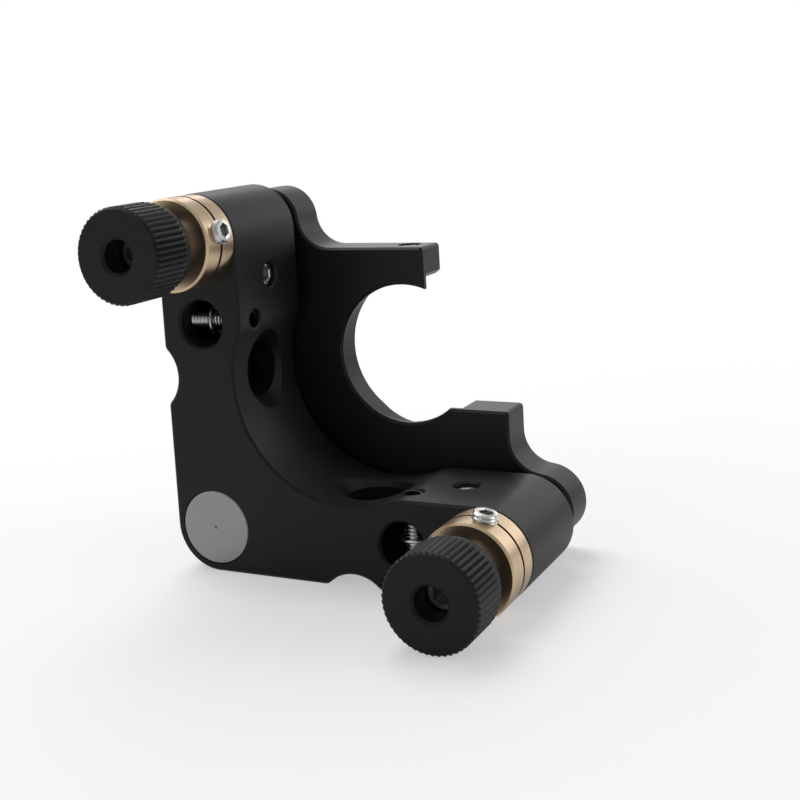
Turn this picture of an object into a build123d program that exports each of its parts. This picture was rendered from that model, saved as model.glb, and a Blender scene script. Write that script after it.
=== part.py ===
from build123d import *
import math
import os

# Two-axis kinematic mirror mount, left-bottom pivot, adjusters on the back.
# Millimetres. +Z is up and +Y is the way a mirror looks.
# Origin: on the optic axis, in the plane of the lip that the mirror seats against.

# ---- overall layout -------------------------------------------------------------------
optic_height = 25.4          # optic axis above the base face
optic_side = 25.4            # optic axis from the side face
arm_width = 11.5             # width of each arm of the back plate
adjuster_reach = 42.25       # adjuster axis from the outer faces
back_thickness = 14.9        # back plate, front face to back face
front_thickness = 5.7        # optic plate
plate_gap = 1.95             # air between the two plates
edge_break = 0.3             # chamfer on the plates' outlines

# ---- optic plate ----------------------------------------------------------------------
optic_diameter = 20.0        # mirror that the seat takes
optic_clearance = 0.1        # radial
lip_thickness = 0.9          # thin lip behind the mirror
lip_width = 1.05             # how far the lip covers the mirror's rim
relief_depth = 0.45          # hollow between the two contact lines
relief_half_angle = 38.0     # contact lines, either side of straight down
front_setback = 3.0          # top and right edges, short of the adjuster axes
front_lobe_radius = 4.55     # round lobes over the adjusters
lobe_inward = 0.55           # lobe centres, from the adjuster axes towards the inner side
lobe_past = 0.4              # and along the arm, past those axes
lobe_blend = 4.25            # hollow blend from lobe to straight edge
top_arm_end = 28.6           # where the top arm stops
horn_top = 18.5              # top of the lower right horn
arm_end_round = 0.5
arm_end_bevel = 0.8

# ---- back plate details ---------------------------------------------------------------
window_radius = 15.0         # round bite in the inner corner
window_blend = 5.0           # where the bite runs into the straight inner faces
post_axis = 25.0             # post screw axes and window centre, from the outer faces
post_level = 7.5             # post screw axes, from the back face
post_hole_radius = 2.25
post_head_radius = 3.6
post_head_seat = 5.6         # head seat, from the outer face
post_mouth_bevel = 0.6
notch_radius = 4.8           # shallow groove across each outer face at the post screw
notch_depth = 1.6
notch_entry = 1.0

# ---- pivot ----------------------------------------------------------------------------
pivot_pin_radius = 4.8
pin_fit = 0.03               # bonded and pressed pieces, radial
pin_front_inset = 0.75       # pin's front end, below the back plate's front face
pivot_ball_radius = 2.5
pin_centre_mark = 0.22
ball_play = 0.05             # between each ball and its seats

# ---- adjusters ------------------------------------------------------------------------
screw_radius = 2.5
screw_run = 0.05             # radial running clearance in the bushing
screw_pitch = 0.25
tip_ball_radius = 1.75
ball_socket_play = 0.03
screw_end_inset = 0.5        # screw's front end, behind the tip ball's centre
collar_radius = 5.7
collar_length = 5.6
collar_bevel = 0.25
bushing_radius = 4.3
bushing_inset = 2.5          # bushing's front end, below the back plate's front face
slit_level = 2.6             # saw cut, from the back plate's back face
slit_width = 0.3
slit_past_axis = 1.6
lock_angle = 13.5            # lock screw, turned from the arm's inner side
lock_stand_off = 0.75        # how far it stands out of the collar
lock_screw_length = 3.0

# ---- knobs ----------------------------------------------------------------------------
knob_radius = 5.69
knob_front = 15.6            # knob's outer face, from the back plate's back face
knob_length = 7.25
knurl_length = 5.9
hub_radius = 5.2
knob_bevel = 0.3
rib_count = 50
rib_groove = 0.27
knob_bore_radius = 1.95
knob_bore_bevel = 0.35
key_end_depth = 3.5          # screw's socket end, below the knob's face
key_size = 2.0

# ---- small screws ---------------------------------------------------------------------
m3_radius = 1.5
m3_key = 1.5
thread_fit = 0.03            # radial, between a screw and its tapped hole
screw_mouth_bevel = 0.3
bushing_screw_setback = 5.25 # from the adjuster axis, towards the pivot
bushing_screw_level = 8.0    # from the back face
bushing_screw_recess = 0.6
anchor_level = 3.7           # spring anchor screws, from the back face
anchor_radius = 1.2
anchor_recess = 1.8
anchor_bite = 1.2            # how far it enters the far wall of the spring hole
anchor_key = 0.9
optic_screw_recess = 0.2
optic_screw_length = 2.4
optic_tip_radius = 1.0
optic_tip_gap = 0.1          # tip's end, short of the mirror seat's wall

# ---- springs --------------------------------------------------------------------------
spring_axis = 31.85          # from the outer faces, along the arm
spring_hole_radius = 3.0
spring_radius = 2.1          # middle of the wire
spring_wire = 0.45
coil_skin = 0.02             # the sleeve that stands for the coil is this much thicker
hook_play = 0.03
spring_pin_radius = 0.75
spring_pin_level = 2.3       # from the optic plate's rear face
spring_pin_inset = 0.15
spring_pin_bite = 1.2
spring_pocket_radius = 2.75
spring_pocket_skin = 1.0     # metal left in front of the spring pocket

# ---- seats ----------------------------------------------------------------------------
seat_radius = 3.2
seat_depth = 2.9             # how deep the seats sit in the optic plate
cone_seat_stand = 0.6        # how far each seat stands out of the plate
vee_seat_stand = 0.9

# ---- worked out -----------------------------------------------------------------------
left = -optic_side
base = -optic_height
half_arm = arm_width / 2
front_rear_y = -lip_thickness
front_face_y = front_rear_y + front_thickness
back_front_y = front_rear_y - plate_gap
back_face_y = back_front_y - back_thickness
seat_wall_radius = optic_diameter / 2 + optic_clearance
lip_radius = seat_wall_radius - lip_width
ball_centre_y = front_rear_y - tip_ball_radius - ball_play
pin_front_y = back_front_y - pin_front_inset
knob_front_y = back_face_y - knob_front
knob_rear_y = knob_front_y + knob_length
post_y = back_face_y + post_level
bushing_screw_y = back_face_y + bushing_screw_level
anchor_y = back_face_y + anchor_level
spring_pin_y = front_rear_y + spring_pin_level
optic_screw_y = front_face_y / 2
slit_y = back_face_y - slit_level
front_square = adjuster_reach - front_setback
bushing_screw_axis = adjuster_reach - bushing_screw_setback
screw_past_bushing = bushing_screw_setback - m3_radius
bushing_screw_tip = half_arm + math.sqrt(bushing_radius**2 - screw_past_bushing**2) + thread_fit
anchor_depth = half_arm + spring_hole_radius + anchor_bite
cone_reach = math.sqrt(2)    # centre to apex of a right-angled cone or vee, in ball radii
arms = ("upper", "lower")


def spot(arm, along, across):
    """X and Z of a point given from the outer faces, along and across one arm."""
    if arm == "upper":
        return (left + across, base + along)
    return (left + along, base + across)


def inward(arm):
    """Unit direction from an arm's outer face to its inner face."""
    return (1, 0, 0) if arm == "upper" else (0, 0, 1)


def section(y):
    """Upright plane at y, drawn in X and Z; a negative extrusion goes towards +Y."""
    return Plane.XZ.offset(-y)


def cross_plane(arm, along, y, across):
    """Plane across an arm, facing its inner side; a negative extrusion goes outward."""
    x, z = spot(arm, along, across)
    return Plane(origin=(x, y, z), x_dir=(0, 1, 0), z_dir=inward(arm))


def turned_plane(origin, direction, radial):
    """Half-plane for a turned profile: first number the radius, second the distance."""
    normal = Vector(*radial).cross(Vector(*direction))
    return Plane(origin=origin, x_dir=radial, z_dir=normal)


def nearest(sketch, point):
    """The corner of an upright sketch that lies nearest to a point in X and Z."""
    return sketch.vertices().sort_by_distance((point[0], point[1], 0))[0]


def save(piece, name):
    piece.part.label = name
    export_step(piece.part, f"parts/{name}.step")


def lock_direction(arm):
    """Outward direction of a collar's lock screw."""
    c, s = math.cos(math.radians(lock_angle)), math.sin(math.radians(lock_angle))
    return (c, 0, s) if arm == "upper" else (s, 0, c)


def make_set_screw(name, end, outward, radial, radius, length, key, point_radius):
    """Headless hexagon-socket screw: end is its socket face, outward the way it faces."""
    inwards = tuple(-v for v in outward)
    rim = radius * 0.15
    point = radius - point_radius
    with BuildPart() as screw:
        with BuildSketch(turned_plane(end, inwards, radial)):
            with BuildLine():
                Polyline(
                    (0, 0),
                    (radius - rim, 0),
                    (radius, rim),
                    (radius, length - point),
                    (point_radius, length),
                    (0, length),
                    close=True,
                )
            make_face()
        revolve(axis=Axis(end, inwards))
        with BuildSketch(Plane(origin=end, x_dir=radial, z_dir=outward)):
            RegularPolygon(radius=key / 2, side_count=6, major_radius=False)
        extrude(amount=-length * 0.45, mode=Mode.SUBTRACT)
    save(screw, name)


os.makedirs("parts", exist_ok=True)
corner = spot("upper", half_arm, half_arm)

# ---- back plate -----------------------------------------------------------------------
window_centre = (left + post_axis, base + post_axis)
bite = math.sqrt(window_radius**2 - (post_axis - arm_width) ** 2)
with BuildPart() as back_plate:
    with BuildSketch(section(back_face_y)) as outline:
        with Locations((left + post_axis / 2, base + post_axis / 2)):
            Rectangle(post_axis, post_axis)
        fillet(nearest(outline, (left, base)), half_arm)
        for arm in arms:
            middle = (half_arm + adjuster_reach) / 2
            size = (arm_width, adjuster_reach - half_arm)
            with Locations(spot(arm, middle, half_arm)):
                Rectangle(*(size if arm == "upper" else size[::-1]))
            with Locations(spot(arm, adjuster_reach, half_arm)):
                Circle(half_arm)
        with Locations(window_centre):
            Circle(window_radius, mode=Mode.SUBTRACT)
        for arm in arms:
            fillet(nearest(outline, spot(arm, post_axis + bite, arm_width)), window_blend)
        for arm in arms:
            with Locations(spot(arm, post_axis, notch_depth - notch_radius)):
                Circle(notch_radius, mode=Mode.SUBTRACT)
        half_notch = math.sqrt(notch_radius**2 - (notch_radius - notch_depth) ** 2)
        for arm in arms:
            for side in (-1, 1):
                entry = spot(arm, post_axis + side * half_notch, 0)
                fillet(nearest(outline, entry), notch_entry)
    extrude(amount=-back_thickness)
    chamfer(back_plate.faces().filter_by(Axis.Y).edges(), edge_break)
    # pivot pin bore
    with BuildSketch(section(back_face_y)):
        with Locations(corner):
            Circle(pivot_pin_radius + pin_fit)
    extrude(amount=-back_thickness, mode=Mode.SUBTRACT)
    for arm in arms:
        # bushing bore
        with BuildSketch(section(back_face_y)):
            with Locations(spot(arm, adjuster_reach, half_arm)):
                Circle(bushing_radius + pin_fit)
        extrude(amount=-back_thickness, mode=Mode.SUBTRACT)
        # spring hole, with its mouth broken
        with BuildSketch(section(back_face_y)):
            with Locations(spot(arm, spring_axis, half_arm)):
                Circle(spring_hole_radius)
        extrude(amount=-back_thickness, mode=Mode.SUBTRACT)
        with BuildSketch(section(back_face_y)):
            with Locations(spot(arm, spring_axis, half_arm)):
                Circle(spring_hole_radius + edge_break)
        extrude(amount=-edge_break, taper=45, mode=Mode.SUBTRACT)
        # post screw: clearance hole, head recess and bevelled mouth
        window_wall = post_axis - window_radius
        with BuildSketch(cross_plane(arm, post_axis, post_y, arm_width)):
            Circle(post_hole_radius)
        extrude(amount=-arm_width, mode=Mode.SUBTRACT)
        with BuildSketch(cross_plane(arm, post_axis, post_y, arm_width)):
            Circle(post_head_radius)
        extrude(amount=post_head_seat - arm_width, mode=Mode.SUBTRACT)
        mouth_extra = arm_width - window_wall + post_mouth_bevel
        with BuildSketch(cross_plane(arm, post_axis, post_y, arm_width)):
            Circle(post_head_radius + mouth_extra)
        extrude(amount=-mouth_extra, taper=45, mode=Mode.SUBTRACT)
        # bushing set screw
        with BuildSketch(cross_plane(arm, bushing_screw_axis, bushing_screw_y, arm_width)):
            Circle(m3_radius + thread_fit)
        extrude(amount=bushing_screw_tip - arm_width - thread_fit, mode=Mode.SUBTRACT)
        with BuildSketch(cross_plane(arm, bushing_screw_axis, bushing_screw_y, arm_width)):
            Circle(m3_radius + screw_mouth_bevel)
        extrude(amount=-screw_mouth_bevel, taper=45, mode=Mode.SUBTRACT)
        # spring anchor screw
        with BuildSketch(cross_plane(arm, spring_axis, anchor_y, arm_width)):
            Circle(anchor_radius + thread_fit)
        extrude(amount=-anchor_depth, mode=Mode.SUBTRACT)
        with BuildSketch(cross_plane(arm, spring_axis, anchor_y, arm_width)):
            Circle(anchor_radius + screw_mouth_bevel)
        extrude(amount=-screw_mouth_bevel, taper=45, mode=Mode.SUBTRACT)
save(back_plate, "back_plate")

# ---- optic plate ----------------------------------------------------------------------
lobe_along = adjuster_reach + lobe_past
lobe_across = half_arm + lobe_inward
plate_inset = lobe_across - front_lobe_radius
relief_bottom = seat_wall_radius + relief_depth
contact_drop = seat_wall_radius * math.cos(math.radians(relief_half_angle))
relief_shift = (relief_bottom**2 - seat_wall_radius**2) / (2 * (relief_bottom - contact_drop))
seat_spots = [corner] + [spot(arm, adjuster_reach, half_arm) for arm in arms]
with BuildPart() as front_plate:
    with BuildSketch(section(front_rear_y)) as face:
        with Locations((left + plate_inset, base + plate_inset)):
            Rectangle(
                front_square - plate_inset, front_square - plate_inset, align=(Align.MIN, Align.MIN)
            )
            column = (front_lobe_radius, lobe_along - plate_inset)
            for arm in arms:
                Rectangle(
                    *(column if arm == "upper" else column[::-1]), align=(Align.MIN, Align.MIN)
                )
        with Locations((left + top_arm_end, base + horn_top)):
            Rectangle(
                arm_width * 2, arm_width * 2, align=(Align.MIN, Align.MIN), mode=Mode.SUBTRACT
            )
        fillet(nearest(face, (left + plate_inset, base + plate_inset)), front_lobe_radius)
        for arm in arms:
            with Locations(spot(arm, lobe_along, lobe_across)):
                Circle(front_lobe_radius)
        rise = lobe_along - front_square
        run = math.sqrt(front_lobe_radius**2 - rise**2)
        for arm in arms:
            fillet(nearest(face, spot(arm, front_square, lobe_across + run)), lobe_blend)
        fillet(nearest(face, (left + top_arm_end, base + front_square)), arm_end_round)
        fillet(nearest(face, (left + front_square, base + horn_top)), arm_end_round)
        Circle(lip_radius, mode=Mode.SUBTRACT)
    extrude(amount=-front_thickness)
    chamfer(front_plate.faces().filter_by(Axis.Y).edges(), edge_break)
    # mirror seat: round wall, relieved between two contact lines
    with BuildSketch(section(0)):
        Circle(seat_wall_radius)
        with Locations((0, -relief_shift)):
            Circle(relief_bottom - relief_shift)
    extrude(amount=-front_face_y, mode=Mode.SUBTRACT)
    arm_foot = math.sqrt(seat_wall_radius**2 - (left + top_arm_end) ** 2)
    arm_edge = front_plate.edges().filter_by(Axis.Y).sort_by_distance(
        (left + top_arm_end, front_face_y / 2, arm_foot)
    )[0]
    chamfer(arm_edge, arm_end_bevel)
    # pockets for the hard seats, and for the springs
    with BuildSketch(section(front_rear_y)):
        with Locations(*seat_spots):
            Circle(seat_radius + pin_fit)
    extrude(amount=-seat_depth, mode=Mode.SUBTRACT)
    with BuildSketch(section(front_rear_y)):
        with Locations(*[spot(arm, spring_axis, half_arm) for arm in arms]):
            Circle(spring_pocket_radius)
    extrude(amount=spring_pocket_skin - front_thickness, mode=Mode.SUBTRACT)
    # spring pin holes, drilled from the outer edges
    pin_end = half_arm + spring_pocket_radius + spring_pin_bite
    for arm in arms:
        with BuildSketch(cross_plane(arm, spring_axis, spring_pin_y, 0)):
            Circle(spring_pin_radius + pin_fit)
        extrude(amount=pin_end, mode=Mode.SUBTRACT)
    # tapped hole for the screw that holds the mirror
    with BuildSketch(Plane.XY.offset(base + front_square)):
        with Locations((0, optic_screw_y)):
            Circle(m3_radius + thread_fit)
    extrude(amount=seat_wall_radius - base - front_square - lip_width, mode=Mode.SUBTRACT)
save(front_plate, "front_plate")

# ---- pivot ----------------------------------------------------------------------------
pivot = (corner[0], 0, corner[1])
pivot_axis = Axis(pivot, (0, 1, 0))
ball_hold = (pivot_ball_radius + ball_play) * cone_reach
pin_mouth = pin_front_y - ball_centre_y + ball_hold
with BuildPart() as pivot_pin:
    with BuildSketch(turned_plane(pivot, (0, 1, 0), (1, 0, 0))):
        with BuildLine():
            Polyline(
                (0, back_face_y + pin_centre_mark),
                (pin_centre_mark, back_face_y),
                (pivot_pin_radius - edge_break / 2, back_face_y),
                (pivot_pin_radius, back_face_y + edge_break / 2),
                (pivot_pin_radius, pin_front_y),
                (pin_mouth, pin_front_y),
                (0, ball_centre_y - ball_hold),
                close=True,
            )
        make_face()
    revolve(axis=pivot_axis)
save(pivot_pin, "pivot_pin")

with BuildPart() as pivot_ball:
    with Locations((corner[0], ball_centre_y, corner[1])):
        Sphere(pivot_ball_radius)
save(pivot_ball, "pivot_ball")

seat_back_y = front_rear_y + seat_depth
cone_face_y = front_rear_y - cone_seat_stand
cone_apex_y = ball_centre_y + ball_hold
with BuildPart() as pivot_seat:
    with BuildSketch(turned_plane(pivot, (0, 1, 0), (1, 0, 0))):
        with BuildLine():
            Polyline(
                (0, cone_apex_y),
                (cone_apex_y - cone_face_y, cone_face_y),
                (seat_radius, cone_face_y),
                (seat_radius, seat_back_y),
                (0, seat_back_y),
                close=True,
            )
        make_face()
    revolve(axis=pivot_axis)
save(pivot_seat, "pivot_seat")

# ---- seats over the adjusters: a vee for the upper ball, a flat for the lower ----------
vee_face_y = front_rear_y - vee_seat_stand
vee_apex_y = ball_centre_y + (tip_ball_radius + ball_play) * cone_reach
vee_half = vee_apex_y - vee_face_y
vee_x, vee_z = spot("upper", adjuster_reach, half_arm)
with BuildPart() as vee_seat:
    with BuildSketch(section(vee_face_y)):
        with Locations((vee_x, vee_z)):
            Circle(seat_radius)
    extrude(amount=vee_face_y - seat_back_y)
    with BuildSketch(Plane.XY.offset(vee_z)):
        with BuildLine():
            Polyline(
                (vee_x, vee_apex_y),
                (vee_x + vee_half, vee_face_y),
                (vee_x - vee_half, vee_face_y),
                close=True,
            )
        make_face()
    extrude(amount=seat_radius, both=True, mode=Mode.SUBTRACT)
save(vee_seat, "vee_seat")

with BuildPart() as flat_seat:
    with BuildSketch(section(front_rear_y)):
        with Locations(spot("lower", adjuster_reach, half_arm)):
            Circle(seat_radius)
    extrude(amount=-seat_depth)
save(flat_seat, "flat_seat")

# ---- adjusters: bushing, screw, tip ball, knob and lock screw ---------------------------
collar_face_y = back_face_y - collar_length
bushing_end_y = back_front_y - bushing_inset
bushing_bore = screw_radius + screw_run
screw_end_y = ball_centre_y - screw_end_inset
key_end_y = knob_front_y + key_end_depth
shank_radius = knob_bore_radius - pin_fit
for arm in arms:
    x, z = spot(arm, adjuster_reach, half_arm)
    axis_point = (x, 0, z)
    axis = Axis(axis_point, (0, 1, 0))
    profile_plane = turned_plane(axis_point, (0, 1, 0), (1, 0, 0))
    lock = lock_direction(arm)
    lock_turn = lock_angle if arm == "upper" else 90 - lock_angle

    with BuildPart() as bushing:
        with BuildSketch(profile_plane):
            with BuildLine():
                Polyline(
                    (bushing_bore + collar_bevel, collar_face_y),
                    (collar_radius - collar_bevel, collar_face_y),
                    (collar_radius, collar_face_y + collar_bevel),
                    (collar_radius, back_face_y),
                    (bushing_radius, back_face_y),
                    (bushing_radius, bushing_end_y),
                    (bushing_bore, bushing_end_y),
                    (bushing_bore, collar_face_y + collar_bevel),
                    close=True,
                )
            make_face()
        revolve(axis=axis)
        # saw cut from the lock screw's side to just past the axis
        with BuildSketch(section(slit_y - slit_width / 2)):
            with Locations((x - slit_past_axis * lock[0], z - slit_past_axis * lock[2])):
                Rectangle(
                    collar_radius * 2,
                    collar_radius * 2 + 1,
                    rotation=lock_turn,
                    align=(Align.MIN, Align.CENTER),
                )
        extrude(amount=-slit_width, mode=Mode.SUBTRACT)
        with BuildSketch(Plane(origin=(x, slit_y, z), x_dir=(0, 1, 0), z_dir=lock)):
            Circle(m3_radius + thread_fit)
        extrude(amount=collar_radius + 1, mode=Mode.SUBTRACT)
    save(bushing, f"{arm}_bushing")

    with BuildPart() as adjuster_screw:
        with BuildSketch(profile_plane):
            with BuildLine():
                Polyline(
                    (0, key_end_y),
                    (shank_radius - edge_break, key_end_y),
                    (shank_radius, key_end_y + edge_break),
                    (shank_radius, knob_rear_y),
                    (screw_radius, knob_rear_y),
                    (screw_radius, screw_end_y - edge_break),
                    (screw_radius - edge_break, screw_end_y),
                    (0, screw_end_y),
                    close=True,
                )
            make_face()
        revolve(axis=axis)
        with BuildSketch(section(key_end_y)):
            with Locations((x, z)):
                RegularPolygon(radius=key_size / 2, side_count=6, major_radius=False)
        extrude(amount=-key_size, mode=Mode.SUBTRACT)
        with Locations((x, ball_centre_y, z)):
            Sphere(tip_ball_radius + ball_socket_play, mode=Mode.SUBTRACT)
    save(adjuster_screw, f"{arm}_adjuster_screw")

    with BuildPart() as tip_ball:
        with Locations((x, ball_centre_y, z)):
            Sphere(tip_ball_radius)
    save(tip_ball, f"{arm}_tip_ball")

    with BuildPart() as knob:
        with BuildSketch(profile_plane):
            with BuildLine():
                Polyline(
                    (knob_bore_radius + knob_bore_bevel, knob_front_y),
                    (knob_radius - knob_bevel, knob_front_y),
                    (knob_radius, knob_front_y + knob_bevel),
                    (knob_radius, knob_front_y + knurl_length),
                    (hub_radius, knob_front_y + knurl_length + knob_radius - hub_radius),
                    (hub_radius, knob_rear_y),
                    (knob_bore_radius, knob_rear_y),
                    (knob_bore_radius, knob_front_y + knob_bore_bevel),
                    close=True,
                )
            make_face()
        revolve(axis=axis)
        with BuildSketch(section(knob_front_y)):
            with Locations((x, z)):
                with PolarLocations(knob_radius, rib_count):
                    RegularPolygon(radius=rib_groove, side_count=4)
        extrude(amount=-(knurl_length + knob_radius - hub_radius), mode=Mode.SUBTRACT)
    save(knob, f"{arm}_knob")

    lock_reach = collar_radius + lock_stand_off
    make_set_screw(
        f"{arm}_lock_screw",
        (x + lock_reach * lock[0], slit_y, z + lock_reach * lock[2]),
        lock,
        (0, 1, 0),
        m3_radius,
        lock_screw_length,
        m3_key,
        m3_radius - edge_break,
    )

# ---- small screws across the arms -------------------------------------------------------
for arm in arms:
    x, z = spot(arm, bushing_screw_axis, arm_width - bushing_screw_recess)
    make_set_screw(
        f"{arm}_bushing_screw",
        (x, bushing_screw_y, z),
        inward(arm),
        (0, 1, 0),
        m3_radius,
        arm_width - bushing_screw_recess - bushing_screw_tip,
        m3_key,
        m3_radius - thread_fit,
    )
    x, z = spot(arm, spring_axis, arm_width - anchor_recess)
    make_set_screw(
        f"{arm}_anchor_screw",
        (x, anchor_y, z),
        inward(arm),
        (0, 1, 0),
        anchor_radius,
        anchor_depth - anchor_recess - thread_fit,
        anchor_key,
        anchor_radius - edge_break,
    )

# ---- springs and the pins that hold their front hooks -----------------------------------
wire_radius = spring_wire / 2
rear_hook_y = anchor_y - anchor_radius - hook_play - wire_radius + spring_radius
front_hook_y = spring_pin_y + spring_pin_radius + hook_play + wire_radius - spring_radius
coil_start_y = anchor_y + anchor_radius + hook_play
for arm in arms:
    x, z = spot(arm, spring_axis, half_arm)
    side = (0, 0, 1) if arm == "upper" else (1, 0, 0)
    wire_ends = [
        (x + turn * spring_radius * side[0], z + turn * spring_radius * side[2])
        for turn in (-1, 1)
    ]
    with BuildPart() as spring:
        with BuildSketch(section(coil_start_y)):
            with Locations((x, z)):
                Circle(spring_radius + wire_radius + coil_skin)
                Circle(spring_radius - wire_radius - coil_skin, mode=Mode.SUBTRACT)
        extrude(amount=coil_start_y - front_hook_y)
        with BuildSketch(section(rear_hook_y)):
            with Locations(*wire_ends):
                Circle(wire_radius)
        extrude(amount=rear_hook_y - coil_start_y)
        for hook_y, way in ((rear_hook_y, -1), (front_hook_y, 1)):
            with BuildSketch(section(hook_y)):
                with Locations(wire_ends[1]):
                    Circle(wire_radius)
            turn_axis = Vector(*side).cross(Vector(0, way, 0))
            revolve(axis=Axis((x, hook_y, z), turn_axis), revolution_arc=180)
    save(spring, f"{arm}_spring")

    with BuildPart() as spring_pin:
        with BuildSketch(cross_plane(arm, spring_axis, spring_pin_y, plate_inset + spring_pin_inset)):
            Circle(spring_pin_radius)
        extrude(amount=pin_end - plate_inset - 2 * spring_pin_inset)
    save(spring_pin, f"{arm}_spring_pin")

# ---- the screw that holds the mirror, with its soft tip ---------------------------------
optic_screw_top = base + front_square - optic_screw_recess
optic_screw_foot = optic_screw_top - optic_screw_length
make_set_screw(
    "optic_screw",
    (0, optic_screw_y, optic_screw_top),
    (0, 0, 1),
    (1, 0, 0),
    m3_radius,
    optic_screw_length,
    m3_key,
    m3_radius - edge_break,
)

with BuildPart() as optic_tip:
    with BuildSketch(Plane.XY.offset(optic_screw_foot)):
        with Locations((0, optic_screw_y)):
            Circle(optic_tip_radius)
    extrude(amount=seat_wall_radius + optic_tip_gap - optic_screw_foot)
save(optic_tip, "optic_tip")
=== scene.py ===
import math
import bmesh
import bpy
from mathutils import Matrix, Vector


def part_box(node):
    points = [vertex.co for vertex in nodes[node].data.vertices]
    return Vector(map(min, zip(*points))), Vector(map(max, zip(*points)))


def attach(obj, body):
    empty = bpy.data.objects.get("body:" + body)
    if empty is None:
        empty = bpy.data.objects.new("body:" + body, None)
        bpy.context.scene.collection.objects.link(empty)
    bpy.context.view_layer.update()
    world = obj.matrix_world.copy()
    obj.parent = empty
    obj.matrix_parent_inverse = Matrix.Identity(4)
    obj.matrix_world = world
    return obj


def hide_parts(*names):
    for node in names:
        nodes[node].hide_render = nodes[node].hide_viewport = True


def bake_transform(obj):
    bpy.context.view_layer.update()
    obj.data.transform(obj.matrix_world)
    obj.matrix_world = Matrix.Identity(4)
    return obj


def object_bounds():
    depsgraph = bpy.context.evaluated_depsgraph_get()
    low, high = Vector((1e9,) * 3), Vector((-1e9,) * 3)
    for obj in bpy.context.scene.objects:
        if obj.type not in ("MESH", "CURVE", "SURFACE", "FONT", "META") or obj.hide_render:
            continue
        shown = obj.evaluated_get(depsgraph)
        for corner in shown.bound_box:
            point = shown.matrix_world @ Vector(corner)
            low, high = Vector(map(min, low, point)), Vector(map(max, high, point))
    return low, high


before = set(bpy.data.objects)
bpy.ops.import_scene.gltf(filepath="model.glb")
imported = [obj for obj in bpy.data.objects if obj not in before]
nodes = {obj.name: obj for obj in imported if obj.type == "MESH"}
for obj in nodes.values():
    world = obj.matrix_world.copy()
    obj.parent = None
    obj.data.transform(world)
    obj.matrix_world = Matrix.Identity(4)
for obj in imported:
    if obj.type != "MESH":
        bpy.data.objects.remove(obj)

# %% [markdown]
# # A two-axis kinematic mirror mount
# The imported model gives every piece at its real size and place. This script dresses it:
# it swaps plain screws for threaded ones and plain tubes for coiled springs, gives each
# piece its finish, and lights the whole on a pale table.
# All lengths here are metres; `MM` turns millimetres into metres.

MM = 0.001
cad_low, cad_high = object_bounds()
ARMS = ("upper", "lower")
scene = bpy.context.scene
print("frame size in mm:", [round(v / MM, 2) for v in cad_high - cad_low])


def middle_of(node):
    """Centre of a node's box."""
    low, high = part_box(node)
    return (low + high) / 2


AXES = {arm: middle_of(f"{arm}_knob") for arm in ARMS}
PIVOT = middle_of("pivot_pin")

# %% [markdown]
# ## Camera
# A product shot of a small mechanism is taken from a little above, from the knob side,
# with a medium long lens so that edges stay nearly parallel. The camera is placed first,
# because every finish is judged through it. It is turned left of +Y, tipped down, and
# rolled by a few degrees; the lens shift frames the mount left of centre.

# %% Place the camera
CAMERA_AT = Vector((73.65, -154.01, 32.44)) * MM
TURN_LEFT, TIP_UP, ROLL = (math.radians(a) for a in (27.945, -8.212, -3.478))
camera_data = bpy.data.cameras.new("product_camera")
camera_data.lens = 60.363
camera_data.sensor_width = 36
camera_data.shift_x = 0.0639
camera_data.shift_y = -0.1292
camera_data.clip_start = 0.005
camera = bpy.data.objects.new("product_camera", camera_data)
scene.collection.objects.link(camera)
camera.matrix_world = (
    Matrix.Translation(CAMERA_AT)
    @ Matrix.Rotation(TURN_LEFT, 4, "Z")
    @ Matrix.Rotation(math.radians(90) + TIP_UP, 4, "X")
    @ Matrix.Rotation(ROLL, 4, "Z")
)
scene.camera = camera
print("camera to pivot in mm:", round((CAMERA_AT - PIVOT).length / MM, 1))

# %% [markdown]
# ## Writing shaders as sums
# Node trees are easier to read as arithmetic. `Value` wraps one socket; adding or
# multiplying two of them makes the Math node that does it. `Finish` holds one material
# and makes any other node from its type, its settings and its inputs.

# %% A small class for shader arithmetic


class Value:
    """One output socket of a node tree, with the arithmetic that the finishes need."""

    def __init__(self, finish, socket):
        self.finish, self.socket = finish, socket

    def math(self, operation, *others):
        return self.finish.node("Math", {"operation": operation}, [self, *others])

    def __add__(self, other):
        return self.math("ADD", other)

    def __sub__(self, other):
        return self.math("SUBTRACT", other)

    def __rsub__(self, other):
        return self.finish.node("Math", {"operation": "SUBTRACT"}, [other, self])

    def __mul__(self, other):
        return self.math("MULTIPLY", other)

    __radd__, __rmul__ = __add__, __mul__


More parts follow.
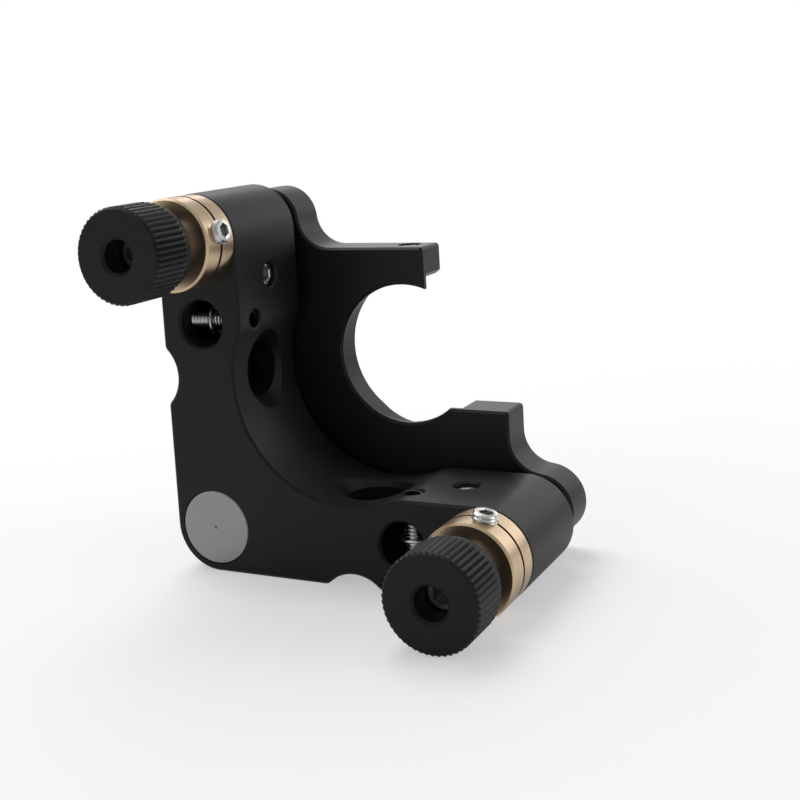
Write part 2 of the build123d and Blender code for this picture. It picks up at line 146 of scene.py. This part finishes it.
class Finish:
    """A material under construction: a tree, its shader and its object coordinates."""

    def __init__(self, name, **constants):
        self.material = bpy.data.materials.new(name)
        self.material.use_nodes = True
        self.tree = self.material.node_tree
        self.shader = self.tree.nodes["Principled BSDF"]
        for socket, value in constants.items():
            self.shader.inputs[socket.replace("_", " ")].default_value = value
        self.place = self.node("TexCoord", {}, [], "Object")

    def node(self, kind, settings, inputs, output=0):
        made = self.tree.nodes.new("ShaderNode" + kind)
        for key, value in settings.items():
            setattr(made, key, value)
        named = inputs.items() if isinstance(inputs, dict) else enumerate(inputs)
        for key, value in named:
            if isinstance(value, Value):
                self.tree.links.new(value.socket, made.inputs[key])
            else:
                made.inputs[key].default_value = value
        return Value(self, made.outputs[output])

    def noise(self, size, detail=3, rough=0.6, stretch=(1, 1, 1)):
        """Cloudy pattern whose blotches are about `size` metres across, from 0 to 1."""
        spot = self.node("Mapping", {}, {"Vector": self.place, "Scale": stretch})
        inputs = {"Vector": spot, "Scale": 1 / size, "Detail": detail, "Roughness": rough}
        return self.node("TexNoise", {}, inputs)

    def mix(self, factor, first, second):
        """Colour between two colours."""
        inputs = {"Factor": factor, 6: first, 7: second}
        return self.node("Mix", {"data_type": "RGBA"}, inputs, 2)

    def from_axis(self, centre):
        """Distance from the line along Y through `centre`."""
        shifted = self.node(
            "VectorMath", {"operation": "SUBTRACT"}, [self.place, tuple(centre)]
        )
        flat = self.node(
            "VectorMath", {"operation": "MULTIPLY"}, [shifted, (1.0, 0.0, 1.0)]
        )
        return self.node("VectorMath", {"operation": "LENGTH"}, [flat], "Value")

    def wave(self, distance, pitch):
        """A sine along `distance`, one crest every `pitch` metres."""
        return (distance * (2 * math.pi / pitch)).math("SINE")

    def bump(self, height, depth, strength=1.0):
        inputs = {"Height": height, "Distance": depth, "Strength": strength}
        return self.node("Bump", {}, inputs)

    def set(self, **links):
        for socket, value in links.items():
            self.tree.links.new(value.socket, self.shader.inputs[socket.replace("_", " ")])
        return self.material


def dress(name, material):
    """Gives a CAD node its finish."""
    mesh = nodes[name].data
    mesh.materials.clear()
    mesh.materials.append(material)


# %% [markdown]
# ## Black anodised aluminium
# The plates are milled, lightly blasted and anodised black. Up close the surface is a
# fine dry grain that breaks reflections into a soft sheen; the dye is a shade uneven.
# Grain is far smaller than any edge, so it is bump, and the sheen varies with roughness.

# %% Finish for the plates and knobs


def anodised(name, shade, sheen, grain):
    finish = Finish(name, Metallic=0.0, Specular_IOR_Level=0.2)
    fine = finish.noise(grain, 4, 0.7)
    cloud = finish.noise(6 * MM, 3, 0.5)
    dye = finish.mix(cloud, (shade * 0.8,) * 3 + (1,), (shade * 1.2,) * 3 + (1,))
    rough = fine * 0.12 + cloud * 0.08 + (sheen - 0.1)
    bumpy = finish.bump(fine, grain * 0.35, 0.5)
    return finish.set(Base_Color=dye, Roughness=rough, Normal=bumpy)


black_plate = anodised("black_plate", 0.007, 0.40, 0.09 * MM)
black_knob = anodised("black_knob", 0.007, 0.46, 0.07 * MM)
for plate in ("back_plate", "front_plate"):
    dress(plate, black_plate)
for arm in ARMS:
    dress(f"{arm}_knob", black_knob)

# %% [markdown]
# ## Turned metal
# Brass collars and the pivot pin come off a lathe, so their faces carry fine rings about
# their own axis. Rings are bump on the distance from that axis; along the barrel the same
# rings run round it. Each part needs its own axis, so the finish is made per part.

# %% Finish for turned parts
BRASS, BRASS_SHEEN = (0.6, 0.45, 0.3), 0.3
PIN_STEEL, PIN_SHEEN = (0.27, 0.27, 0.265), 0.38
CUT_WIDTH = 0.46 * MM
# Dark red-brown painted shade for the band round the saw cut in the brass collar.
CUT_PAINTED_SHADE = (0.1, 0.03, 0.018, 1)
TOOL_WANDER = 0.02 * MM


def turned(name, centre, colour, sheen, ring=0.11 * MM, depth=0.0012 * MM, cut=None):
    """Lathe-turned metal round a line along Y; `cut` is the level of a saw cut, whose band
    is painted dark as shade.
    """
    finish = Finish(name, Metallic=1.0)
    distance = finish.from_axis(centre)
    along = finish.node("SeparateXYZ", {}, [finish.place], "Y")
    drift = finish.noise(1.2 * MM, 2, 0.5)
    rings = finish.wave(distance + drift * TOOL_WANDER, ring)
    barrel = finish.wave(along + drift * TOOL_WANDER, ring)
    cloud = finish.noise(3.5 * MM, 3, 0.5)
    pale = tuple(min(1, c * 1.05) for c in colour) + (1,)
    deep = tuple(c * 0.92 for c in colour) + (1,)
    tone = finish.mix(cloud, deep, pale)
    rough = rings * 0.02 + cloud * 0.06 + (sheen - 0.03)
    if cut is not None:
        # The band round the saw cut gets painted shade, a dark red-brown standing in for
        # the slit's shadow; it is also made rougher.
        cut_shade_band = (along - cut).math("ABSOLUTE").math("LESS_THAN", CUT_WIDTH / 2)
        tone = finish.mix(cut_shade_band, tone, CUT_PAINTED_SHADE)
        rough = rough + cut_shade_band * 0.4
    bumpy = finish.bump(rings + barrel, depth, 0.5)
    return finish.set(Base_Color=tone, Roughness=rough, Normal=bumpy)


for arm in ARMS:
    cut_level = middle_of(f"{arm}_lock_screw").y
    brass = turned(f"{arm}_brass", AXES[arm], BRASS, BRASS_SHEEN, cut=cut_level)
    dress(f"{arm}_bushing", brass)
dress("pivot_pin", turned("pin_steel", PIVOT, PIN_STEEL, PIN_SHEEN))

# %% [markdown]
# ## Small steel parts
# Screws and springs are bright stainless, balls are polished, and seats are plain ground
# steel. The adjuster screws are darker, as hardened steel is.

# %% Finish for screws, balls, seats and the soft tip


def steel(name, colour, sheen, grain=0.05 * MM):
    finish = Finish(name, Metallic=1.0)
    fine = finish.noise(grain, 3, 0.6)
    cloud = finish.noise(0.8 * MM, 3, 0.6)
    tone = finish.mix(cloud, tuple(c * 0.85 for c in colour) + (1,), colour + (1,))
    rough = fine * 0.08 + cloud * 0.08 + (sheen - 0.05)
    bumpy = finish.bump(fine, 0.002 * MM, 0.4)
    return finish.set(Base_Color=tone, Roughness=rough, Normal=bumpy)


stainless = steel("stainless", (0.62, 0.62, 0.6), 0.24)
dark_steel = steel("dark_steel", (0.32, 0.32, 0.325), 0.3)
polished = steel("polished_steel", (0.72, 0.72, 0.74), 0.08)
seat_steel = steel("seat_steel", (0.5, 0.5, 0.5), 0.25)
for arm in ARMS:
    for part in ("lock_screw", "bushing_screw", "anchor_screw", "spring"):
        dress(f"{arm}_{part}", stainless)
    dress(f"{arm}_adjuster_screw", dark_steel)
    dress(f"{arm}_tip_ball", polished)
    dress(f"{arm}_spring_pin", seat_steel)
dress("pivot_ball", polished)
for part in ("pivot_seat", "vee_seat", "flat_seat"):
    dress(part, seat_steel)
dress("optic_screw", stainless)


def nylon(name, colour):
    finish = Finish(name, Roughness=0.5)
    cloud = finish.noise(0.4 * MM, 3, 0.6)
    tone = finish.mix(cloud, tuple(c * 0.9 for c in colour) + (1,), colour + (1,))
    bumpy = finish.bump(cloud, 0.01 * MM, 0.3)
    return finish.set(Base_Color=tone, Normal=bumpy)


dress("optic_tip", nylon("nylon", (0.82, 0.8, 0.74)))

# %% [markdown]
# ## Making pieces by sweeping
# Threads and springs are helical, and the quickest true helix in bmesh is `spin` with a
# step along its axis. `Maker` keeps one bmesh and the loop of edges that was swept last,
# so each piece reads as a list of moves: start a ring, run, turn, close.

# %% A maker that sweeps, bridges and caps
ALONG = Vector((0, 1, 0))
SHARP = math.radians(32)


class Maker:
    """A bmesh with a current loop of edges, which each move carries on."""

    def __init__(self):
        self.bm = bmesh.new()
        self.loop = []

    def ring(self, radius, sides, place=Matrix.Identity(4)):
        """Starts a new round loop."""
        made = bmesh.ops.create_circle(
            self.bm, cap_ends=False, segments=sides, radius=radius, matrix=place
        )
        self.loop = list({edge for v in made["verts"] for edge in v.link_edges})
        return self.loop

    def line(self, points):
        """Starts an open chain of edges."""
        verts = [bmesh.ops.create_vert(self.bm, co=p)["vert"][0] for p in points]
        self.loop = [self.bm.edges.new(pair) for pair in zip(verts, verts[1:])]
        return self.loop

    def turn(self, centre, axis, angle, steps, rise=Vector((0, 0, 0))):
        """Sweeps the loop round an axis, and along by `rise` a step."""
        verts = {v for edge in self.loop for v in edge.verts}
        swept = bmesh.ops.spin(
            self.bm, geom=[*verts, *self.loop], cent=centre, axis=axis,
            angle=angle, steps=steps, dvec=rise,
        )
        self.loop = [g for g in swept["geom_last"] if isinstance(g, bmesh.types.BMEdge)]

    def run(self, move, shrink=1.0, centre=None):
        """Extrudes the loop straight by `move`, and may scale it about `centre`."""
        made = bmesh.ops.extrude_edge_only(self.bm, edges=self.loop)["geom"]
        self.loop = [g for g in made if isinstance(g, bmesh.types.BMEdge)]
        verts = [g for g in made if isinstance(g, bmesh.types.BMVert)]
        bmesh.ops.translate(self.bm, verts=verts, vec=move)
        if centre is not None:
            bmesh.ops.scale(
                self.bm, verts=verts, vec=(shrink,) * 3, space=Matrix.Translation(-centre)
            )

    def bridge_to(self, radius, level, sides=32):
        """Joins the loop to a new round one at a level on Z."""
        old = self.loop
        new = self.ring(radius, sides, Matrix.Translation((0, 0, level)))
        bmesh.ops.bridge_loops(self.bm, edges=[*old, *new])

    def cut(self, level, way):
        """Cuts everything beyond a level on Z, up (+1) or down (-1), and takes the rim."""
        cut = bmesh.ops.bisect_plane(
            self.bm, geom=[*self.bm.verts, *self.bm.edges, *self.bm.faces], dist=1e-8,
            plane_co=(0, 0, level), plane_no=(0, 0, way), clear_outer=True,
        )
        self.loop = [g for g in cut["geom_cut"] if isinstance(g, bmesh.types.BMEdge)]

    def close(self):
        """Fills every hole that is left."""
        rims = [edge for edge in self.bm.edges if edge.is_boundary]
        bmesh.ops.holes_fill(self.bm, edges=rims, sides=0)

    def piece(self, name, material, slot, place=Matrix.Identity(4)):
        """Turns the bmesh into an object whose mesh already stands in its place."""
        bmesh.ops.recalc_face_normals(self.bm, faces=self.bm.faces)
        bmesh.ops.transform(self.bm, matrix=place, verts=self.bm.verts)
        for face in self.bm.faces:
            face.smooth = True
        for edge in self.bm.edges:
            edge.smooth = edge.calc_face_angle(math.pi) < SHARP
        mesh = bpy.data.meshes.new(name)
        self.bm.to_mesh(mesh)
        self.bm.free()
        mesh.materials.append(material)
        made = bpy.data.objects.new(name, mesh)
        scene.collection.objects.link(made)
        print(f"{name}: {len(mesh.polygons)} faces")
        return made


def facing(at, way):
    """A place at `at` whose Z axis looks along `way`."""
    return Matrix.Translation(at) @ way.to_track_quat("Z", "Y").to_matrix().to_4x4()


# %% [markdown]
# ## Threaded screws
# A screw thread is a V profile swept along a helix whose rise is one pitch a turn. The
# profile is one pitch high, so each turn meets the next, and merging doubles welds them.
# The sweep is cut square at both ends; the upper rim is bridged to the socket, a hexagon
# that is sunk into the end. Z runs along the screw, with the socket's face at 0.

# %% Threads and sockets
SIDES = 32
THREAD_DEPTH = 0.42  # share of the pitch
SOCKET_BEVEL = 1.12  # width of the socket's mouth against the socket itself


def thread(maker, radius, pitch, depth, low, high, sides):
    """V thread round Z from `low` to `high`, left open at both ends."""
    turns = math.ceil((high - low) / pitch) + 2
    start, root = low - pitch, radius - depth
    profile = [(root, 0.0), (radius, 0.42), (radius, 0.58), (root, 1.0)]
    maker.line([(r, 0, start + share * pitch) for r, share in profile])
    rise = Vector((0, 0, pitch / sides))
    maker.turn((0, 0, 0), (0, 0, 1), turns * 2 * math.pi, turns * sides, rise)
    bmesh.ops.remove_doubles(maker.bm, verts=maker.bm.verts, dist=pitch * 0.02)


def threaded_screw(
    radius, pitch, length, key, shoulders, point, thread_top, sides=SIDES
):
    """A socket screw; `shoulders` are (radius, z) rings from the thread up to the face."""
    maker = Maker()
    depth = THREAD_DEPTH * pitch
    thread(maker, radius, pitch, depth, -length + point, thread_top, sides)
    maker.cut(-length + point, -1)
    maker.bridge_to(radius - depth - point / 2, -length)
    maker.cut(thread_top, 1)
    for ring_radius, level in shoulders:
        maker.bridge_to(ring_radius, level)
    hexagon = key / math.sqrt(3)
    maker.bridge_to(hexagon * SOCKET_BEVEL, 0, 6)
    maker.run(Vector((0, 0, -0.1 * key)), 1 / SOCKET_BEVEL, Vector((0, 0, 0)))
    maker.run(Vector((0, 0, -0.9 * key)))
    maker.close()
    return maker


def set_screw(radius, pitch, length, key):
    """A headless screw whose socket end has a short bevel."""
    rim = radius - (THREAD_DEPTH - 0.05) * pitch
    bevel = [(rim, -0.03 * MM), (rim - 0.06 * MM, 0)]
    point, thread_top = 0.3 * MM, -0.22 * MM
    return threaded_screw(radius, pitch, length, key, bevel, point, thread_top)


def fit(maker, node, body, material, slot, place):
    """Stands a detailed piece in for a CAD node."""
    piece = maker.piece(f"{node}_detailed", material, slot, place)
    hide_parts(node)
    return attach(piece, body)


# %% Lock, bushing, anchor and mirror screws
M3 = (1.5 * MM, 0.5 * MM)  # radius and pitch
M2_5 = (1.2 * MM, 0.45 * MM)
LOCK_LENGTH = 3.0 * MM
SMALL_KEY, ANCHOR_KEY = 1.5 * MM, 0.9 * MM
LOCK_TURN = math.radians(13.5)
OUTWARD = {"upper": Vector((1, 0, 0)), "lower": Vector((0, 0, 1))}
CROSS = {"upper": Vector((0, 0, 1)), "lower": Vector((1, 0, 0))}
STEEL = (stainless, "stainless_screw")
for arm in ARMS:
    out, cross = OUTWARD[arm], CROSS[arm]
    lock_way = out * math.cos(LOCK_TURN) + cross * math.sin(LOCK_TURN)
    lock_end = middle_of(f"{arm}_lock_screw") + lock_way * (LOCK_LENGTH / 2)
    screw = set_screw(*M3, LOCK_LENGTH, SMALL_KEY)
    fit(screw, f"{arm}_lock_screw", f"{arm}_lock", *STEEL, facing(lock_end, lock_way))
    for part, size, key in (
        ("bushing_screw", M3, SMALL_KEY),
        ("anchor_screw", M2_5, ANCHOR_KEY),
    ):
        node = f"{arm}_{part}"
        low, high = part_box(node)
        length = (high - low).dot(out)
        screw = set_screw(*size, length, key)
        end = middle_of(node) + out * (length / 2)
        fit(screw, node, "frame", *STEEL, facing(end, out))
low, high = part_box("optic_screw")
screw = set_screw(*M3, high.z - low.z, SMALL_KEY)
top = middle_of("optic_screw") + Vector((0, 0, (high.z - low.z) / 2))
fit(screw, "optic_screw", "mirror_screw", *STEEL, facing(top, Vector((0, 0, 1))))

# %% [markdown]
# ## Adjuster screws
# These carry a very fine thread, four turns to the millimetre. Behind it a plain neck goes
# through the knob and ends in the key socket that shows at the bottom of the knob's hole.

# %% Adjuster screws
FINE = (2.5 * MM, 0.25 * MM)
FINE_KEY = 2.0 * MM
FINE_POINT = 0.35 * MM
FINE_SIDES = 20
NECK = 1.92 * MM
NECK_BEVEL = 0.2 * MM
for arm in ARMS:
    node = f"{arm}_adjuster_screw"
    low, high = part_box(node)
    knob_low, knob_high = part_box(f"{arm}_knob")
    thread_top = -(knob_high.y - low.y)
    rings = [(NECK, thread_top), (NECK, -NECK_BEVEL), (NECK - NECK_BEVEL, 0)]
    length = high.y - low.y
    screw = threaded_screw(
        *FINE, length, FINE_KEY, rings, FINE_POINT, thread_top, FINE_SIDES
    )
    end = AXES[arm].copy()
    end.y = low.y
    place = facing(end, -ALONG)
    fit(screw, node, f"{arm}_adjuster", dark_steel, "dark_screw", place)

# %% [markdown]
# ## Tapped holes
# Beside each post screw's hole is the tapped hole that the spring's anchor screw went in
# by. Its thread is a triangular ridge, swept along the empty part of the hole.

# %% Ridges in the anchor holes
RIDGE = 0.225 * MM
RIDGE_AT = 1.1675 * MM
RIDGE_STEPS = 24  # in one turn
MOUTH = 0.25 * MM  # bare stretch at the mouth of the hole
ARM_WIDTH = 11.5 * MM
for arm in ARMS:
    out = OUTWARD[arm]
    low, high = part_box(f"{arm}_anchor_screw")
    end = (low + high) / 2 + out * ((high - low).dot(out) / 2)
    plate_low, plate_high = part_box("back_plate")
    face = plate_low.dot(out) + ARM_WIDTH
    climb = face - end.dot(out) - MOUTH - RIDGE
    maker = Maker()
    upright = Matrix.Rotation(math.radians(90), 4, "X") @ Matrix.Rotation(math.pi, 4, "Z")
    maker.ring(RIDGE, 3, Matrix.Translation((RIDGE_AT, 0, RIDGE)) @ upright)
    turns = climb / M2_5[1]
    steps = round(turns * RIDGE_STEPS)
    rise = Vector((0, 0, climb / steps))
    maker.turn((0, 0, 0), (0, 0, 1), turns * 2 * math.pi, steps, rise)
    maker.close()
    piece = maker.piece(
        f"{arm}_anchor_hole_thread", black_plate, "black_anodised", facing(end, out)
    )
    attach(piece, "frame")

# %% [markdown]
# ## Extension springs
# Each spring is one wire: a hook round the anchor screw, a bend, the coil, a second bend
# and a hook round the pin in the optic plate. A small ring is swept through those moves.
# The springs stretch as the plate tilts; here each is one fixed mesh, swept at rest.

# %% Springs
WIRE = 0.45 * MM
WIRE_SIDES = 10
COIL = 2.1 * MM
COIL_STEPS = 24  # in one turn
BEND = 0.45 * MM
TURNS = 22
TAIL = 0.8 * MM
PLAY = 0.03 * MM
PIN_RADIUS = 0.75 * MM
FRONT_SLACK = 0.1 * MM


def sweep_spring(at, side, anchor, pin):
    """One wire from the hook behind `anchor` to the hook round `pin`, both levels on Y."""
    tangent = ALONG.cross(side)
    coil_start = anchor + M2_5[0] + PLAY + BEND
    rear = anchor - M2_5[0] - PLAY - WIRE / 2 + COIL
    front = pin + PIN_RADIUS + PLAY + WIRE / 2 - COIL
    coil_end = front - BEND - FRONT_SLACK
    maker = Maker()
    maker.ring(WIRE / 2, WIRE_SIDES, facing(at(rear + TAIL, -COIL), ALONG))
    maker.run(ALONG * -TAIL)
    maker.turn(at(rear), side.cross(ALONG), math.pi, 18)
    maker.run(ALONG * (coil_start - BEND - rear))
    corner = at(coil_start - BEND, COIL) + tangent * BEND
    maker.turn(corner, -side, math.pi / 2, 6)
    angle = TURNS * 2 * math.pi - 2 * math.atan(BEND / COIL)
    steps = TURNS * COIL_STEPS
    rise = ALONG * ((coil_end - coil_start) / steps)
    maker.turn(at(0), ALONG, angle, steps, rise)
    corner = at(coil_end + BEND, COIL) - tangent * BEND
    maker.turn(corner, side, math.pi / 2, 6)
    maker.run(ALONG * (front - coil_end - BEND))
    maker.turn(at(front), side.cross(ALONG), math.pi, 18)
    maker.run(ALONG * -TAIL)
    maker.close()
    return maker


for arm, bodies in (("upper", ("frame", "pivot")), ("lower", ("pivot", "optic_plate"))):
    side, axis_at = CROSS[arm], middle_of(f"{arm}_spring")
    anchor = middle_of(f"{arm}_anchor_screw").y
    pin = middle_of(f"{arm}_spring_pin").y

    def at(level, across=0.0, axis_at=axis_at, side=side):
        """A point at a level on Y, and `across` from the spring's own axis."""
        return Vector((axis_at.x, level, axis_at.z)) + side * across

    maker = sweep_spring(at, side, anchor, pin)
    spring = maker.piece(f"{arm}_coil_spring", stainless, "spring_wire")
    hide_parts(f"{arm}_spring")
    at(anchor)
    at(pin)
    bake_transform(spring)

# %% [markdown]
# ## Table, backdrop and light
# The table is matt white near the mount, where it takes the soft shadow, and fades into a
# plain white surround so that no horizon shows. The main softbox is above, behind and to
# the left; weaker ones behind, at the right and in front keep the black edges readable.
# Metal sees the surround at half its brightness, and matt faces get less of it still.

# %% Table
MIRRORED = 0.5
SHADOW_LIFT = 0.46  # how far the table near the mount is already white
FADE_FROM, FADE_TO = 0.045, 0.14


def table():
    finish = Finish("white_table", Roughness=0.9)
    span = finish.node("VectorMath", {"operation": "LENGTH"}, [finish.place], "Value")
    reach = {"From Min": FADE_FROM, "From Max": FADE_TO, "To Min": SHADOW_LIFT}
    fade = finish.node("MapRange", {}, {"Value": span, **reach})
    grain = finish.noise(2 * MM, 2)
    tone = finish.mix(grain, (0.86, 0.86, 0.86, 1), (0.88, 0.88, 0.88, 1))
    finish.set(Base_Color=tone)
    seen = finish.node("LightPath", {}, [], "Is Camera Ray")
    mirrored = finish.node("LightPath", {}, [], "Is Glossy Ray")
    glow = finish.node("Emission", {}, {"Color": (1, 1, 1, 1), "Strength": 1.0})
    matt = Value(finish, finish.shader.outputs[0])
    blend = finish.node("MixShader", {}, [fade * (seen + mirrored * MIRRORED), matt, glow])
    out = finish.tree.nodes["Material Output"]
    finish.tree.links.new(blend.socket, out.inputs["Surface"])
    return finish.material


bm = bmesh.new()
bmesh.ops.create_grid(bm, x_segments=1, y_segments=1, size=1.5)
bmesh.ops.translate(bm, verts=bm.verts, vec=(0, 0, cad_low.z))
floor_mesh = bpy.data.meshes.new("table_top")
bm.to_mesh(floor_mesh)
bm.free()
floor = bpy.data.objects.new("table_top", floor_mesh)
scene.collection.objects.link(floor)
floor.data.materials.append(table())

# %% Surround and softboxes
world = bpy.data.worlds.new("white_surround")
scene.world = world
world.use_nodes = True
tree = world.node_tree
background = tree.nodes["Background"]
path = tree.nodes.new("ShaderNodeLightPath")
strength = tree.nodes.new("ShaderNodeMapRange")
SURROUND = 0.22
seen = tree.nodes.new("ShaderNodeMath")
seen.operation = "MULTIPLY_ADD"
seen.inputs[1].default_value = (MIRRORED - SURROUND) / (1 - SURROUND)
strength.inputs["To Min"].default_value = SURROUND
strength.inputs["To Max"].default_value = 1.0
tree.links.new(path.outputs["Is Glossy Ray"], seen.inputs[0])
tree.links.new(path.outputs["Is Camera Ray"], seen.inputs[2])
tree.links.new(seen.outputs[0], strength.inputs["Value"])
tree.links.new(strength.outputs[0], background.inputs["Strength"])
background.inputs["Color"].default_value = (1, 1, 1, 1)


def softbox(name, at, width, height, power, aim=Vector((0, -10 * MM, 0))):
    data = bpy.data.lights.new(name, "AREA")
    data.shape, data.size, data.size_y, data.energy = "RECTANGLE", width, height, power
    lamp = bpy.data.objects.new(name, data)
    scene.collection.objects.link(lamp)
    at = Vector(at)
    turn = (aim - at).to_track_quat("-Z", "Y").to_matrix().to_4x4()
    lamp.matrix_world = Matrix.Translation(at) @ turn
    return lamp


softbox("upper_left", (-0.22, 0.16, 0.4), 0.4, 0.4, 2.3)
softbox("low_back", (0.02, 0.55, 0.16), 0.7, 0.25, 0.7)
softbox("right_side", (0.42, 0.1, 0.2), 0.25, 0.3, 0.35)
softbox("left_front", (-0.2, -0.4, 0.25), 0.25, 0.25, 0.3)
scene.view_settings.view_transform = "Standard"
